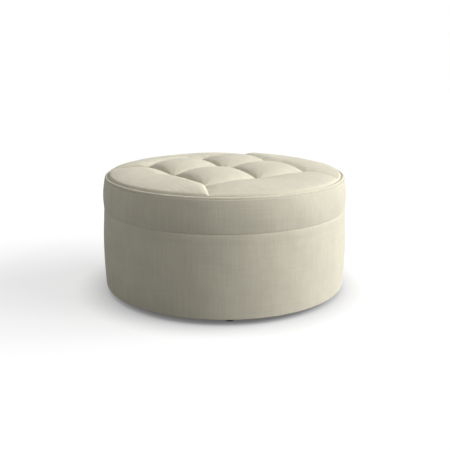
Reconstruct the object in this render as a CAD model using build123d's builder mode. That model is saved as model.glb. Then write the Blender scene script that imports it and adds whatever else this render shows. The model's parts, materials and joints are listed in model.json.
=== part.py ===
from build123d import *
from math import cos, radians, sin, sqrt
import os

os.makedirs("parts", exist_ok=True)

# A round ottoman coffee table: an upholstered drum that carries a tufted, bolted-down top.
# The floor is z = 0, the drum stands on Z, and the rows of tufts run along X and Y.

# Overall sizes, in millimetres
overall_diameter = 914
glide_height = 20
base_height = 291  # from the drum's underside to its waist
band_height = 131  # from the waist to the middle of the welt
pillow_rise = 33  # a middle pillow's crest above the middle of the welt
petal_rise = 21  # an outer petal's crest above the middle of the welt
tuft_drop = 5  # a tuft's foot below the middle of the welt
tuft_pitch = 215
seam_angle = 45  # where the cloth bands and the wall panel are joined, at the back

# Cloth, wadding and their folds
fabric = 1.6
dust_cloth = 0.8
dust_inset = 14  # the dust cloth's edge inside the drum's widest line
wall_wadding_thickness = 13
turn_in = 36  # cloth folded under the base, over it and under the deck
base_bulge = 5  # how far the base wall swells past its foot, its shoulder and the band
foot_round = 4
shoulder_round = 6
waist_inset = 4  # how far the band is drawn in at the waist
waist_round = 4
welt_inset = 9  # the welt's outside inside the band's widest line
welt_radius = 5.5
cord_radius = 3.6
skirt_depth = 15  # the top cover's edge tucked down behind the welt

# The crown's form
petal_crest_share = 0.5  # where the crest lies between the outer tufts and the rim
petal_outer_arc = 620
rim_round = 28
saddle_rise = 24  # height of a petal's long back, above the outer tufts' middle
saddle_tilt = 23  # degrees that this back climbs towards the rim

# Timber
ring_width = 58
ring_thickness = 18
panel_thickness = 4
panel_joint = 2
post_size = 38
post_count = 8
rail_offset = 95
rail_thickness = 18
rail_height = 60
deck_thickness = 18

# Fixings
screw_radius = 2.2
screw_length = 50
screw_head_radius = 4.5
rail_screw_length = 45
bolt_radius = 4
bolt_head_radius = 7.5
bolt_head_height = 5.5
bolt_end_cover = 4  # how far the bolt's end stops below the deck's top
washer_radius = 9
washer_thickness = 1.6
tee_barrel_radius = 5.2
tee_barrel_length = 12
tee_flange_radius = 11
tee_flange_thickness = 1.5

# Glides
glide_count = 6
glide_radius = 16
glide_edge = 3
glide_collar_radius = 6
nail_radius = 1.7
nail_length = 33
nail_head_radius = 4
nail_head_thickness = 1.2
nail_cover = 3  # glide material below the nail's head

# Tufting
twine_radius = 1.2
knot_radius = 2.6
knot_seat_share = 1.15  # how high a knot's middle sits in the pit, in knot radii
foam_punch_radius = 9
deck_punch_radius = 4
anchor_radius = 14
anchor_thickness = 2

# Clearances
soft_gap = 0.3  # between soft pieces
fit_gap = 0.2  # between timber faces that curve together, and round twine
screw_gap = 0.05  # round screws, nails and tee nuts in their holes
bolt_gap = 0.5  # round the bolts in the top ring
overrun = 5

# Radii of the drum, from the outside in
body_radius = overall_diameter / 2
base_radius = body_radius - base_bulge  # at the base's foot and shoulder, and the band's widest
band_low_radius = base_radius - waist_inset
band_top_radius = base_radius - welt_inset
welt_centre_radius = band_top_radius - welt_radius
rim_radius = welt_centre_radius - welt_radius - soft_gap
fold_radius = base_radius - turn_in
panel_outer_radius = base_radius - fabric - wall_wadding_thickness
panel_inner_radius = panel_outer_radius - panel_thickness
ring_outer_radius = panel_inner_radius - fit_gap
ring_inner_radius = ring_outer_radius - ring_width
ring_middle_radius = ring_outer_radius - ring_width / 2
fixing_radius = (ring_inner_radius + fold_radius) / 2

# Heights, from the floor up
drum_bottom_z = glide_height + dust_cloth
ring_bottom_z = drum_bottom_z + fabric
post_bottom_z = ring_bottom_z + ring_thickness
waist_z = drum_bottom_z + base_height
ring_top_z = waist_z - fabric
post_top_z = ring_top_z - ring_thickness
deck_bottom_z = waist_z + fabric
deck_top_z = deck_bottom_z + deck_thickness
seam_z = waist_z + band_height
band_top_z = seam_z - welt_radius - soft_gap
foam_top_z = seam_z - skirt_depth
tuft_z = seam_z - tuft_drop
petal_z = seam_z + petal_rise
pillow_z = seam_z + pillow_rise

rail_bottom_z = ring_top_z - rail_height
anchor_bottom_z = deck_bottom_z - anchor_thickness

# Places round the drum
quarter = 90
bolt_turn = 360 / post_count / 2  # the bolts stand midway between the posts, clear of the tufts
post_circle_radius = sqrt(ring_outer_radius**2 - (post_size / 2) ** 2) - post_size / 2
rail_outside = rail_offset + rail_thickness / 2
rail_half_length = sqrt(ring_outer_radius**2 - rail_outside**2)
rail_raised_half_length = sqrt(ring_inner_radius**2 - rail_outside**2) - fit_gap
rail_screw_reach = sqrt(ring_middle_radius**2 - rail_offset**2)

upright = (Align.CENTER, Align.CENTER, Align.MIN)


# Sections and shapes that more than one piece follows
def base_section(inset, inner_radius):
    """The base's side, foot and shoulder, drawn this far inside the cloth's outer face."""
    low = drum_bottom_z + inset
    high = waist_z - inset
    edge = base_radius - inset
    foot = foot_round - inset
    shoulder = shoulder_round - inset
    with BuildSketch(Plane.XZ) as section:
        with BuildLine():
            TangentArc((edge - foot, low), (edge, low + foot), tangent=(1, 0))
            ThreePointArc(
                (edge, low + foot),
                (edge + base_bulge, (low + high) / 2),
                (edge, high - shoulder),
            )
            TangentArc((edge, high - shoulder), (edge - shoulder, high), tangent=(0, 1))
            Polyline(
                (edge - shoulder, high),
                (inner_radius, high),
                (inner_radius, low),
                (edge - foot, low),
            )
        make_face()
    return section.sketch


def band_section(inset, inner_radius):
    """The band's side and waist fold, drawn this far inside the cloth's outer face."""
    low = waist_z + inset
    waist = waist_round - inset
    low_edge = band_low_radius - inset
    top_edge = band_top_radius - inset
    with BuildSketch(Plane.XZ) as section:
        with BuildLine():
            TangentArc((low_edge - waist, low), (low_edge, low + waist), tangent=(1, 0))
            ThreePointArc(
                (low_edge, low + waist),
                (base_radius - inset, (waist_z + band_top_z) / 2),
                (top_edge, band_top_z),
            )
            Polyline(
                (top_edge, band_top_z),
                (inner_radius, band_top_z),
                (inner_radius, low),
                (low_edge - waist, low),
            )
        make_face()
    return section.sketch


def petal_section(inset, low):
    """A petal cut across: up from the tufts to its crest, then over to the rounded rim."""
    crest_radius = tuft_pitch + (rim_radius - tuft_pitch) * petal_crest_share
    reach = crest_radius - tuft_pitch
    rise = petal_rise + tuft_drop
    inner_arc = (reach**2 + rise**2) / (2 * rise)
    foot_fall = low - (petal_z - inner_arc)
    foot_radius = crest_radius - sqrt((inner_arc - inset) ** 2 - foot_fall**2)
    knee_reach = rim_radius - rim_round - crest_radius
    knee_fall = sqrt((petal_outer_arc - rim_round) ** 2 - knee_reach**2)
    knee_share = (petal_outer_arc - inset) / (petal_outer_arc - rim_round)
    outer_centre_z = petal_z - petal_outer_arc
    knee = (crest_radius + knee_reach * knee_share, outer_centre_z + knee_fall * knee_share)
    crest = (crest_radius, petal_z - inset)
    foot = (foot_radius, low)
    rim = (rim_radius - inset, outer_centre_z + knee_fall)
    with BuildSketch(Plane.XZ.rotated((0, 0, -quarter / 2))) as section:
        with BuildLine():
            TangentArc(crest, foot, tangent=(-1, 0))
            TangentArc(crest, knee, tangent=(1, 0))
            TangentArc(rim, knee, tangent=(0, 1))
            Polyline(rim, (rim_radius - inset, low), foot)
        make_face()
    return section.sketch


def petal(inset, low):
    """One quarter of the crown's outer ring, falling away at both ends to the pleats."""
    saddle_fall = (saddle_rise + tuft_drop) * cos(radians(saddle_tilt))
    saddle_radius = (tuft_pitch**2 + saddle_fall**2) / (2 * saddle_fall)
    saddle_line = Plane(
        origin=(tuft_pitch, 0, seam_z + saddle_rise),
        x_dir=(0, 1, 0),
        z_dir=(cos(radians(saddle_tilt)), 0, sin(radians(saddle_tilt))),
    )
    with BuildPart() as lobe:
        revolve(petal_section(inset, low), Axis.Z, quarter)
        with BuildSketch(saddle_line):
            with Locations((0, -saddle_radius)):
                Circle(saddle_radius - inset)
        extrude(amount=overall_diameter, both=True, mode=Mode.INTERSECT)
    return lobe.part


def crown(inset, low):
    """The tufted crown, drawn this far inside the cloth's outer face and cut flat at low."""
    reach = tuft_pitch / sqrt(2)
    rise = pillow_rise + tuft_drop
    pillow_ball = (reach**2 + rise**2) / (2 * rise)
    with BuildPart() as form:
        with Locations((0, 0, pillow_z - pillow_ball)):
            with GridLocations(tuft_pitch, tuft_pitch, 2, 2):
                Sphere(pillow_ball - inset)
        split(bisect_by=Plane.XY.offset(low), keep=Keep.TOP)
        for turn in range(4):
            add(petal(inset, low).rotate(Axis.Z, turn * quarter))
    return form.part


def screw(length, gap):
    """A countersunk screw standing on its head, with this much gap all round."""
    with BuildPart() as form:
        Cylinder(screw_radius + gap, length, align=upright)
        Cone(
            screw_head_radius + gap,
            screw_radius + gap,
            screw_head_radius - screw_radius,
            align=upright,
        )
    return form.part


def nail(gap):
    """A glide's nail standing on its head, with this much gap all round."""
    with BuildPart() as form:
        Cylinder(nail_radius + gap, nail_length + gap, align=upright)
        Cylinder(nail_head_radius + gap, nail_head_thickness + gap, align=upright)
    return form.part


# Glides: nylon pads nailed up into the bottom ring, with a collar through the dust cloth
with BuildPart() as glides:
    with PolarLocations(fixing_radius, glide_count):
        Cylinder(glide_radius, glide_height, align=upright)
    fillet(glides.faces().group_by(Axis.Z)[0].edges(), glide_edge)
    with PolarLocations(fixing_radius, glide_count):
        Cylinder(glide_collar_radius, ring_bottom_z, align=upright)
    with Locations((0, 0, nail_cover)):
        with PolarLocations(fixing_radius, glide_count):
            add(nail(screw_gap), mode=Mode.SUBTRACT)
glides.part.label = "glides"
export_step(glides.part, "parts/glides.step")

with BuildPart() as glide_nails:
    with Locations((0, 0, nail_cover)):
        with PolarLocations(fixing_radius, glide_count):
            add(nail(0))
glide_nails.part.label = "glide_nails"
export_step(glide_nails.part, "parts/glide_nails.step")

# Dust cloth: closes the underside and laps over the base cover's hem
with BuildPart() as dust_cover:
    with BuildSketch(Plane.XY.offset(glide_height)):
        Circle(body_radius - dust_inset)
        with PolarLocations(fixing_radius, glide_count):
            Circle(glide_collar_radius + soft_gap, mode=Mode.SUBTRACT)
    extrude(amount=dust_cloth)
dust_cover.part.label = "dust_cover"
export_step(dust_cover.part, "parts/dust_cover.step")

# Base frame: two plywood rings held apart by posts, with two rails let in under the deck
with BuildPart() as bottom_ring:
    with BuildSketch(Plane.XY.offset(ring_bottom_z)):
        Circle(ring_outer_radius)
        Circle(ring_inner_radius, mode=Mode.SUBTRACT)
    extrude(amount=ring_thickness)
    with Locations((0, 0, ring_bottom_z)):
        with PolarLocations(post_circle_radius, post_count):
            add(screw(ring_thickness, screw_gap), mode=Mode.SUBTRACT)
    with Locations((0, 0, nail_cover)):
        with PolarLocations(fixing_radius, glide_count):
            add(nail(screw_gap), mode=Mode.SUBTRACT)
bottom_ring.part.label = "bottom_ring"
export_step(bottom_ring.part, "parts/bottom_ring.step")

with BuildPart() as top_ring:
    with BuildSketch(Plane.XY.offset(post_top_z)):
        Circle(ring_outer_radius)
        Circle(ring_inner_radius, mode=Mode.SUBTRACT)
        with PolarLocations(fixing_radius, post_count, bolt_turn):
            Circle(bolt_radius + bolt_gap, mode=Mode.SUBTRACT)
        with GridLocations(tuft_pitch, tuft_pitch, 3, 3):
            Circle(deck_punch_radius, mode=Mode.SUBTRACT)
    extrude(amount=ring_thickness)
    with Locations(Location((0, 0, ring_top_z), (180, 0, 0))):
        with PolarLocations(post_circle_radius, post_count):
            add(screw(ring_thickness, screw_gap), mode=Mode.SUBTRACT)
        with GridLocations(2 * rail_offset, 2 * rail_screw_reach, 2, 2):
            add(screw(ring_thickness, screw_gap), mode=Mode.SUBTRACT)
top_ring.part.label = "top_ring"
export_step(top_ring.part, "parts/top_ring.step")

with BuildPart() as posts:
    with BuildSketch(Plane.XY.offset(post_bottom_z)):
        with PolarLocations(post_circle_radius, post_count):
            Rectangle(post_size, post_size)
    extrude(amount=post_top_z - post_bottom_z)
    with Locations((0, 0, ring_bottom_z), Location((0, 0, ring_top_z), (180, 0, 0))):
        with PolarLocations(post_circle_radius, post_count):
            add(screw(screw_length + screw_gap, screw_gap), mode=Mode.SUBTRACT)
posts.part.label = "posts"
export_step(posts.part, "parts/posts.step")

with BuildPart() as post_screws:
    with Locations((0, 0, ring_bottom_z), Location((0, 0, ring_top_z), (180, 0, 0))):
        with PolarLocations(post_circle_radius, post_count):
            add(screw(screw_length, 0))
post_screws.part.label = "post_screws"
export_step(post_screws.part, "parts/post_screws.step")

# Rails: their raised middles stand level with the top ring, their ends run under it
with BuildPart() as deck_rails:
    with BuildSketch(Plane.YZ.offset(rail_offset - rail_thickness / 2)):
        with Locations((0, rail_bottom_z)):
            Rectangle(
                2 * rail_half_length,
                post_top_z - rail_bottom_z,
                align=(Align.CENTER, Align.MIN),
            )
            Rectangle(2 * rail_raised_half_length, rail_height, align=(Align.CENTER, Align.MIN))
    extrude(amount=rail_thickness)
    mirror(about=Plane.YZ)
    with Locations(Location((0, 0, ring_top_z), (180, 0, 0))):
        with GridLocations(2 * rail_offset, 2 * rail_screw_reach, 2, 2):
            add(screw(rail_screw_length + screw_gap, screw_gap), mode=Mode.SUBTRACT)
deck_rails.part.label = "deck_rails"
export_step(deck_rails.part, "parts/deck_rails.step")

with BuildPart() as rail_screws:
    with Locations(Location((0, 0, ring_top_z), (180, 0, 0))):
        with GridLocations(2 * rail_offset, 2 * rail_screw_reach, 2, 2):
            add(screw(rail_screw_length, 0))
rail_screws.part.label = "rail_screws"
export_step(rail_screws.part, "parts/rail_screws.step")

# Wall: a thin panel bent round the frame, butted at the back, with wadding round it
with BuildPart() as wall_panel:
    with BuildSketch(Plane.XY.offset(ring_bottom_z)):
        Circle(panel_outer_radius)
        Circle(panel_inner_radius, mode=Mode.SUBTRACT)
        with PolarLocations(panel_inner_radius, 1, seam_angle):
            Rectangle(ring_width, panel_joint, mode=Mode.SUBTRACT)
    extrude(amount=ring_top_z - ring_bottom_z)
wall_panel.part.label = "wall_panel"
export_step(wall_panel.part, "parts/wall_panel.step")

with BuildPart() as wall_wadding:
    revolve(base_section(fabric + soft_gap, panel_outer_radius + soft_gap), Axis.Z)
wall_wadding.part.label = "wall_wadding"
export_step(wall_wadding.part, "parts/wall_wadding.step")

# Base cover: a fabric band turned in under the bottom ring and over the top one
with BuildPart() as base_cover:
    revolve(base_section(0, fold_radius), Axis.Z)
    revolve(base_section(fabric, fold_radius - overrun), Axis.Z, mode=Mode.SUBTRACT)
base_cover.part.label = "base_cover"
export_step(base_cover.part, "parts/base_cover.step")

# Deck: the plywood disc that carries the padding and is bolted down through the top ring
with BuildPart() as deck_panel:
    with BuildSketch(Plane.XY.offset(deck_bottom_z)):
        Circle(band_low_radius - fabric - soft_gap)
        with GridLocations(tuft_pitch, tuft_pitch, 3, 3):
            Circle(deck_punch_radius, mode=Mode.SUBTRACT)
    extrude(amount=deck_thickness)
    fillet(deck_panel.faces().sort_by(Axis.Z)[0].outer_wire().edges(), waist_round)
    with Locations((0, 0, deck_top_z)):
        with PolarLocations(fixing_radius, post_count, bolt_turn):
            CounterBoreHole(
                tee_barrel_radius + screw_gap,
                tee_flange_radius + screw_gap,
                tee_flange_thickness,
            )
deck_panel.part.label = "deck_panel"
export_step(deck_panel.part, "parts/deck_panel.step")

with BuildPart() as deck_bolts:
    with BuildSketch(Plane.XY.offset(post_top_z - washer_thickness - bolt_head_height)):
        with PolarLocations(fixing_radius, post_count, bolt_turn):
            RegularPolygon(bolt_head_radius, 6)
    extrude(amount=bolt_head_height)
    with BuildSketch(Plane.XY.offset(post_top_z - washer_thickness)):
        with PolarLocations(fixing_radius, post_count, bolt_turn):
            Circle(bolt_radius)
    extrude(amount=deck_top_z - bolt_end_cover - post_top_z + washer_thickness)
deck_bolts.part.label = "deck_bolts"
export_step(deck_bolts.part, "parts/deck_bolts.step")

with BuildPart() as bolt_washers:
    with BuildSketch(Plane.XY.offset(post_top_z - washer_thickness)):
        with PolarLocations(fixing_radius, post_count, bolt_turn):
            Circle(washer_radius)
            Circle(bolt_radius + bolt_gap, mode=Mode.SUBTRACT)
    extrude(amount=washer_thickness)
bolt_washers.part.label = "bolt_washers"
export_step(bolt_washers.part, "parts/bolt_washers.step")

with BuildPart() as tee_nuts:
    with BuildSketch(Plane.XY.offset(deck_top_z - tee_flange_thickness)):
        with PolarLocations(fixing_radius, post_count, bolt_turn):
            Circle(tee_flange_radius)
    extrude(amount=tee_flange_thickness)
    with BuildSketch(Plane.XY.offset(deck_top_z - tee_barrel_length)):
        with PolarLocations(fixing_radius, post_count, bolt_turn):
            Circle(tee_barrel_radius)
    extrude(amount=tee_barrel_length)
    with Locations((0, 0, deck_top_z)):
        with PolarLocations(fixing_radius, post_count, bolt_turn):
            Hole(bolt_radius + screw_gap)
tee_nuts.part.label = "tee_nuts"
export_step(tee_nuts.part, "parts/tee_nuts.step")

# Padding on the deck: firm foam punched for the tufts, with wadding round its side
with BuildPart() as foam_core:
    with BuildSketch(Plane.XY.offset(deck_top_z)):
        Circle(rim_radius)
        with GridLocations(tuft_pitch, tuft_pitch, 3, 3):
            Circle(foam_punch_radius, mode=Mode.SUBTRACT)
    extrude(amount=foam_top_z - deck_top_z)
foam_core.part.label = "foam_core"
export_step(foam_core.part, "parts/foam_core.step")

with BuildPart() as band_wadding:
    revolve(band_section(fabric + soft_gap, rim_radius + soft_gap), Axis.Z)
    split(bisect_by=Plane.XY.offset(deck_top_z), keep=Keep.TOP)
band_wadding.part.label = "band_wadding"
export_step(band_wadding.part, "parts/band_wadding.step")

# Band: the fabric strip round the padding, turned in under the deck at the waist
with BuildPart() as boxing_band:
    revolve(band_section(0, fold_radius), Axis.Z)
    revolve(band_section(fabric, fold_radius - overrun), Axis.Z, mode=Mode.SUBTRACT)
boxing_band.part.label = "boxing_band"
export_step(boxing_band.part, "parts/boxing_band.step")

# Welt: a cord inside a fabric tube, all round the edge of the top
with BuildPart() as edge_welt:
    with BuildSketch(Plane.XZ):
        with Locations((welt_centre_radius, seam_z)):
            Circle(welt_radius)
            Circle(cord_radius + soft_gap, mode=Mode.SUBTRACT)
    revolve(axis=Axis.Z)
edge_welt.part.label = "edge_welt"
export_step(edge_welt.part, "parts/edge_welt.step")

with BuildPart() as welt_cord:
    with BuildSketch(Plane.XZ):
        with Locations((welt_centre_radius, seam_z)):
            Circle(cord_radius)
    revolve(axis=Axis.Z)
welt_cord.part.label = "welt_cord"
export_step(welt_cord.part, "parts/welt_cord.step")

# Top: fibre fill and the cover over it, drawn down at nine tufts
with BuildPart() as top_fill:
    add(crown(fabric + soft_gap, foam_top_z))
    with GridLocations(tuft_pitch, tuft_pitch, 3, 3):
        Hole(twine_radius + fit_gap)
top_fill.part.label = "top_fill"
export_step(top_fill.part, "parts/top_fill.step")

with BuildPart() as top_cover:
    add(crown(0, foam_top_z))
    add(crown(fabric, foam_top_z - overrun), mode=Mode.SUBTRACT)
    with GridLocations(tuft_pitch, tuft_pitch, 3, 3):
        Hole(twine_radius + fit_gap)
top_cover.part.label = "top_cover"
export_step(top_cover.part, "parts/top_cover.step")

# Tuft twines: knotted in the pits of the cover and under the washers below the deck
with BuildPart() as tuft_twines:
    top_knot_z = tuft_z + knot_radius * knot_seat_share
    low_knot_z = anchor_bottom_z - knot_radius
    with BuildSketch(Plane.XY.offset(low_knot_z)):
        with GridLocations(tuft_pitch, tuft_pitch, 3, 3):
            Circle(twine_radius)
    extrude(amount=top_knot_z - low_knot_z)
    with Locations((0, 0, low_knot_z), (0, 0, top_knot_z)):
        with GridLocations(tuft_pitch, tuft_pitch, 3, 3):
            Sphere(knot_radius)
tuft_twines.part.label = "tuft_twines"
export_step(tuft_twines.part, "parts/tuft_twines.step")

with BuildPart() as tuft_anchors:
    with BuildSketch(Plane.XY.offset(anchor_bottom_z)):
        with GridLocations(tuft_pitch, tuft_pitch, 3, 3):
            Circle(anchor_radius)
            Circle(twine_radius + fit_gap, mode=Mode.SUBTRACT)
    extrude(amount=anchor_thickness)
tuft_anchors.part.label = "tuft_anchors"
export_step(tuft_anchors.part, "parts/tuft_anchors.step")
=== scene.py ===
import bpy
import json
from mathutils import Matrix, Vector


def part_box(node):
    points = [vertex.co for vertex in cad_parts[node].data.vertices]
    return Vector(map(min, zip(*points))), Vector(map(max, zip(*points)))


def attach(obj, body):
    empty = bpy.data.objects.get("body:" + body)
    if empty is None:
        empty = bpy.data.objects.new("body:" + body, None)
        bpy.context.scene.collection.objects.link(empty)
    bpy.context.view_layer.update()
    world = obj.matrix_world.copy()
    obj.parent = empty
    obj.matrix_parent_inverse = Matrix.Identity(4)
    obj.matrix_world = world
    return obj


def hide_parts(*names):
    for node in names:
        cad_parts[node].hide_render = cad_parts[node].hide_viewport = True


bl_info = {
    "name": "Tufted drum ottoman",
    "version": (1, 0, 0),
    "blender": (4, 5, 0),
    "location": "3D View > Sidebar > Ottoman",
    "description": "Cloth, welt and tufted top of a round ottoman coffee table, in its studio",
    "category": "Object",
}

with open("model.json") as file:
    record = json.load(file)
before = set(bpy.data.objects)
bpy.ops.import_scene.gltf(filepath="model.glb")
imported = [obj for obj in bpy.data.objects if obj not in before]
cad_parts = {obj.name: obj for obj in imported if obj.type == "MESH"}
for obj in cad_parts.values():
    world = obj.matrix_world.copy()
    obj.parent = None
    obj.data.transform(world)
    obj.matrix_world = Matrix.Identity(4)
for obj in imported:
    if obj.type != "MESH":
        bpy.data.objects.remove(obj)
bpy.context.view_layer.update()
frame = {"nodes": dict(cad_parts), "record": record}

import json
from contextlib import contextmanager
from functools import partialmethod
from math import acos, cos, pi, radians, sin, sqrt

import bmesh
import bpy
import numpy as np
from mathutils import Vector

# Lengths here and below are in metres
WELT_DROP = 0.018  # the cover pulls the welt and the band's top this much below the frame's
WELT_CLEARANCE = 0.0002  # between the welt and the band's cloth under it
KNOT_RADIUS = 0.0026
KNOT_REACH = 2.15 * KNOT_RADIUS  # from a tuft's foot to its knot's top
RIM_FLOOR = 0.0095  # the cover above the middle of the welt, before its edge rolls down
SKIRT_GAP = 0.0004  # the closed underside's height over the foam
SKIRT_FALLS = (0.5, 0.0)  # heights of the turned-down edge, as shares of the rim's
SKIRT_RINGS = (0.97, 0.6, 0.2)  # then radii of the closed underside, as shares of the rim's
WEAVE_RIM = 0.9  # the underside's weave is held still beyond this share of the rim's radius
PLEAT_SKEW = (-8.0, -3.0, 6.0, 6.0)  # degrees, for the corners at -45, 45, 135 and 225
PANEL_EVENNESS = 0.3  # how evenly mesh lines lie across a panel; less crowds them at its edges
ROW_EVENNESS = 0.35
FOLD_PHASES = (1.9, 2.7)  # radians that turn each tuft's folds from its neighbours'
# Power and root of each fullness: of a pillow, of a petal inside and outside its crest,
# and of a petal's end beside its own pleat and beside the next one's
PILLOW_FULL = (2.3, 1.75)
PETAL_INSIDE, PETAL_OUTSIDE = (2.1, 1.25), (2.6, 1.6)
STEEP_FULL, GENTLE_FULL = (2.2, 2.0), (2.0, 1.3)
CREASE_POWER = 1.7  # how flat a crease lies in its middle
RIM_POWER = 1.3  # how late a petal's floor falls to the rim
CALM_POWER = 1.5  # how fast the swelling dies away towards the rim
LEAST_ROUND = 0.0004  # the sharpest fold of a lining or a padding
TUCK_START = radians(3)  # how far under the welt's middle the band's cloth turns in
TUCK_END = radians(72)  # how far round the welt it then reaches
TUCK_GAP = 0.001  # the wall's last point stays this far below that turn
GIVE_REACH = 0.02  # from a cloth's upper and lower edge to where it gives fully
RIPPLE_ROUND, RIPPLE_UP = 2.6, 5.0  # waves of the unevenness, round the drum and up it
RIPPLE_SCALE, RIPPLE_GAIN = 1.6, 3.0
WOBBLE_ROUND = 16.0  # waves of the welt's unevenness
SAG_REACH = 0.66  # the dust cover sags within this share of its radius
HEM_STEP = 0.0008  # width of the step down to the dust cover's hem
HEM_ROUND = 0.0006  # width of its rounded edge
HEM_DROP = 0.0003  # the hem lies this much lower than the single cloth
STAPLE_SKEW = 0.12  # radians by which a staple may stand askew
PLY_PAIR = 0.0036  # a light and a dark ply together
MERGE = 1e-5  # points closer than this become one
ON_EDGE = 1e-6  # a place this near to a panel's edge lies on it
FLOOR_HALF = 9.0
SHADE_POWER = 0.95  # how fast the painted shade under the drum grows
WHITE = (1, 1, 1, 1)
SOCKETS = {int: "Int", float: "Float", tuple: "Color"}  # a socket's type from its default

# Settings of the cloth simulation that belong to this linen
CLOTH = {
    "quality": 6,
    "mass": 0.3,
    "tension_stiffness": 25,
    "compression_stiffness": 12,
    "shear_stiffness": 6,
    "bending_stiffness": 0.6,
    "air_damping": 2,
    "use_pressure": True,
    "vertex_group_mass": "held",
}
# Slubs of the linen: waves across and along in a metre, seed, strength
SLUBS = ((640, 16, 0, 0.5), (16, 640, 7, 0.5), (150, 7, 13, 0.55), (7, 150, 21, 0.35))

# Sizes that the CAD frame gives
crown_low, crown_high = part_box("top_cover")
welt_low, welt_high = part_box("edge_welt")
cord_low, cord_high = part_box("welt_cord")
band_low, band_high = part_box("boxing_band")
base_low, base_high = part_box("base_cover")
dust_low, dust_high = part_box("dust_cover")
twine_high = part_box("tuft_twines")[1]
foam_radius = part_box("foam_core")[1].x
panel_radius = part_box("wall_panel")[1].x
rim_radius = crown_high.x
foam_top_z = crown_low.z
welt_radius = (welt_high.z - welt_low.z) / 2
welt_z = (welt_high.z + welt_low.z) / 2 - WELT_DROP
welt_line_radius = welt_high.x - welt_radius
cord_radius = (cord_high.z - cord_low.z) / 2
band_radius = band_high.x
waist_z = band_low.z
base_widest = base_high.x
base_bottom_z = base_low.z
dust_radius = dust_high.x
dust_z = dust_low.z
dust_thickness = dust_high.z - dust_low.z
tuft_pitch = twine_high.x - KNOT_RADIUS
tuft_z = twine_high.z - KNOT_REACH


def length(name, description, default):
    """A length that a user may change, in metres."""
    return bpy.props.FloatProperty(
        name=name, description=description, default=default, unit="LENGTH", precision=5
    )


def share(name, description, default):
    """A plain number that a user may change."""
    return bpy.props.FloatProperty(name=name, description=description, default=default, precision=4)


def count(name, description, default):
    """A whole number that a user may change."""
    return bpy.props.IntProperty(name=name, description=description, default=default, min=0)


def turn(name, description, degrees):
    """An angle that a user may change."""
    return bpy.props.FloatProperty(
        name=name, description=description, default=radians(degrees), subtype="ANGLE"
    )


def colour(name, description, default):
    """A colour that a user may change."""
    return bpy.props.FloatVectorProperty(
        name=name, description=description, default=default, subtype="COLOR", size=4, min=0, max=1
    )


class OttomanCrown(bpy.types.PropertyGroup):
    """Sizes of the tufted top"""

    pillow_rise: length("Pillow rise", "A pillow's crest above the tufts' feet", 0.036)
    petal_rise: length("Petal rise", "An outer petal's crest above the tufts' feet", 0.0145)
    crease_rise: length("Crease rise", "A crease's middle above the tufts' feet", 0.0085)
    scallop: length("Scallop", "How far a pillow's outer edge bows out over its crease", 0.008)
    fold_depth: length("Fold depth", "Height of the small folds that run out of a tuft", 0.0006)
    fold_reach: length("Fold reach", "How far those folds run", 0.020)
    fold_count: count("Folds", "Small folds round each tuft", 9)
    steep_end: length("Full end", "How soon a petal is full beside its own pleat", 0.026)
    gentle_end: length("Gentle end", "How soon a petal is full beside the next pleat", 0.200)
    edge_roll: length("Edge roll", "How far the cover rolls down behind the welt", 0.0040)
    roll_reach: length("Roll reach", "How wide that rolled edge is", 0.008)
    petal_crest: share("Petal crest", "Where a petal's crest lies, from crease to rim", 0.36)
    pillow_divisions: count("Pillow divisions", "Mesh divisions across one pillow", 40)
    petal_rows: count("Petal rows", "Mesh rows from the crease to the rim", 38)
    pressure: share("Pressure", "Pressure of the fill in the cloth simulation", 1.2)
    slack: share("Slack", "Spare cloth in the simulation, as a share of its length", 0.003)
    most_move: length("Most movement", "The furthest that the simulation moves the cloth", 0.0022)
    calm_rim: length("Calm rim", "Width of the rim where the piping calms that movement", 0.090)
    last_frame: count("Frames", "Steps of the cloth simulation", 20)


class OttomanWrap(bpy.types.PropertyGroup):
    """Sizes of the cloth bands round the drum, the welt and the dust cover"""

    sections: count("Sections", "Divisions round the drum", 288)
    cloth_thickness: length("Cloth", "Thickness of the cloth", 0.0016)
    turn_in: length("Turn-in", "Cloth folded under, behind the band's edge", 0.036)
    foot_round: length("Foot round", "Rounding under the base", 0.004)
    shoulder_round: length("Shoulder round", "How far the base's shoulder rounds in", 0.0036)
    shoulder_fall: length("Shoulder fall", "How far down that rounding starts", 0.036)
    waist_inset: length("Waist inset", "How far the band is drawn in at the waist", 0.0018)
    waist_round: length("Waist round", "Rounding under the band", 0.0018)
    ripple: length("Ripple", "Height of the soft unevenness of the stretched cloth", 0.0011)
    seam_groove: length("Seam groove", "Depth of the sewn join at the back", 0.0014)
    seam_width: length("Seam width", "Half the width of that join's groove", 0.004)
    seam_turn: turn("Seam place", "Where the join stands round the drum", 45)
    welt_sides: count("Welt sides", "Divisions round the welt's tube", 20)
    welt_wobble: length("Welt wobble", "Unevenness of the welt", 0.0005)
    welt_wall: length("Welt wall", "Thickness of the welt's cloth", 0.0014)
    welt_plump: length("Welt plumpness", "How far the welt stands out beyond its seat", 0.0009)
    padding_gap: length("Padding gap", "From a cloth's lining to the wadding under it", 0.0012)
    cover_sag: length("Cover sag", "How far the dust cover hangs down in its middle", 0.003)
    cover_hem: length("Cover hem", "Width of the dust cover's folded edge", 0.016)
    staple_inset: length("Staple inset", "From the dust cover's edge to its staples", 0.007)
    staple_width: length("Staple width", "Width of a staple", 0.010)
    staple_wire: length("Staple wire", "Half the thickness of a staple's wire", 0.0004)
    staple_spacing: length("Staple spacing", "From one staple to the next", 0.042)


class OttomanCloth(bpy.types.PropertyGroup):
    """Colours and grain of the cloth"""

    warp: colour("Warp", "Colour of the threads that run up", (0.655, 0.620, 0.500, 1))
    weft: colour("Weft", "Colour of the threads that run round", (0.610, 0.575, 0.460, 1))
    thread: length("Thread", "From one thread to the next", 0.0012)
    streak: share("Streaks", "Strength of the lighter and darker threads", 0.11)
    mottle: share("Mottle", "Strength of the soft patches", 0.075)


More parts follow.
